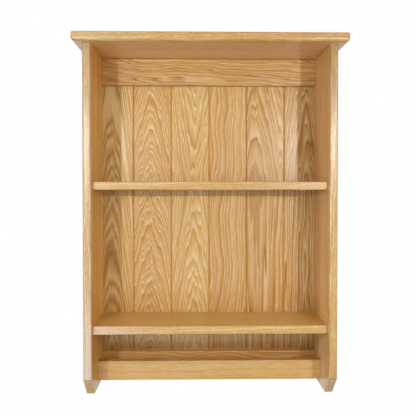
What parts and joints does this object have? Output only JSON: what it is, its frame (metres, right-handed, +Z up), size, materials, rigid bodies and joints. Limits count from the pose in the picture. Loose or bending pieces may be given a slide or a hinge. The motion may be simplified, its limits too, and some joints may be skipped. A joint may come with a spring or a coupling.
{
  "type": "wall shelf",
  "caption": "Oak wall shelf: overhanging top board, clipped-foot sides, housed shelves, rails and a V-jointed board back, hung on keyhole plates.",
  "frame": {"origin": "on the wall plane, half way between the two keyholes, level with the upper ends of their slots", "axes": "+Z up, +Y into the wall, +X to the right as seen from the front"},
  "size_m": [0.644, 0.218, 0.8603],
  "materials": {
    "oak_top": "satin lacquered oak",
    "oak_side": "satin lacquered oak",
    "oak_shelf": "satin lacquered oak",
    "oak_rail": "satin lacquered oak",
    "oak_back": "satin lacquered oak",
    "dowel": "bare beech",
    "screw": "zinc plated",
    "hanger": "zinc plated"
  },
  "bodies": {
    "root": {"top_board": "oak_top", "left_side": "oak_side", "right_side": "oak_side", "middle_shelf": "oak_shelf", "lower_shelf": "oak_shelf", "upper_back_rail": "oak_rail", "lower_back_rail": "oak_rail", "front_rail": "oak_rail", "back_board_1": "oak_back", "back_board_2": "oak_back", "back_board_3": "oak_back", "back_board_4": "oak_back", "back_board_5": "oak_back", "back_board_6": "oak_back", "top_dowel_left_1": "dowel", "top_dowel_left_2": "dowel", "top_dowel_left_3": "dowel", "top_dowel_right_1": "dowel", "top_dowel_right_2": "dowel", "top_dowel_right_3": "dowel", "upper_rail_dowel_left_lower": "dowel", "upper_rail_dowel_left_upper": "dowel", "upper_rail_dowel_right_lower": "dowel", "upper_rail_dowel_right_upper": "dowel", "lower_rail_dowel_left_lower": "dowel", "lower_rail_dowel_left_upper": "dowel", "lower_rail_dowel_right_lower": "dowel", "lower_rail_dowel_right_upper": "dowel", "front_rail_dowel_left_lower": "dowel", "front_rail_dowel_left_upper": "dowel", "front_rail_dowel_right_lower": "dowel", "front_rail_dowel_right_upper": "dowel", "board_screw_1_upper": "screw", "board_screw_1_middle": "screw", "board_screw_1_lower": "screw", "board_screw_2_upper": "screw", "board_screw_2_middle": "screw", "board_screw_2_lower": "screw", "board_screw_3_upper": "screw", "board_screw_3_middle": "screw", "board_screw_3_lower": "screw", "board_screw_4_upper": "screw", "board_screw_4_middle": "screw", "board_screw_4_lower": "screw", "board_screw_5_upper": "screw", "board_screw_5_middle": "screw", "board_screw_5_lower": "screw", "board_screw_6_upper": "screw", "board_screw_6_middle": "screw", "board_screw_6_lower": "screw", "hanger_screw_left_lower": "screw", "hanger_screw_left_upper": "screw", "hanger_screw_right_lower": "screw", "hanger_screw_right_upper": "screw", "hanger_plate_left": "hanger", "hanger_plate_right": "hanger"}
  },
  "joints": []
}
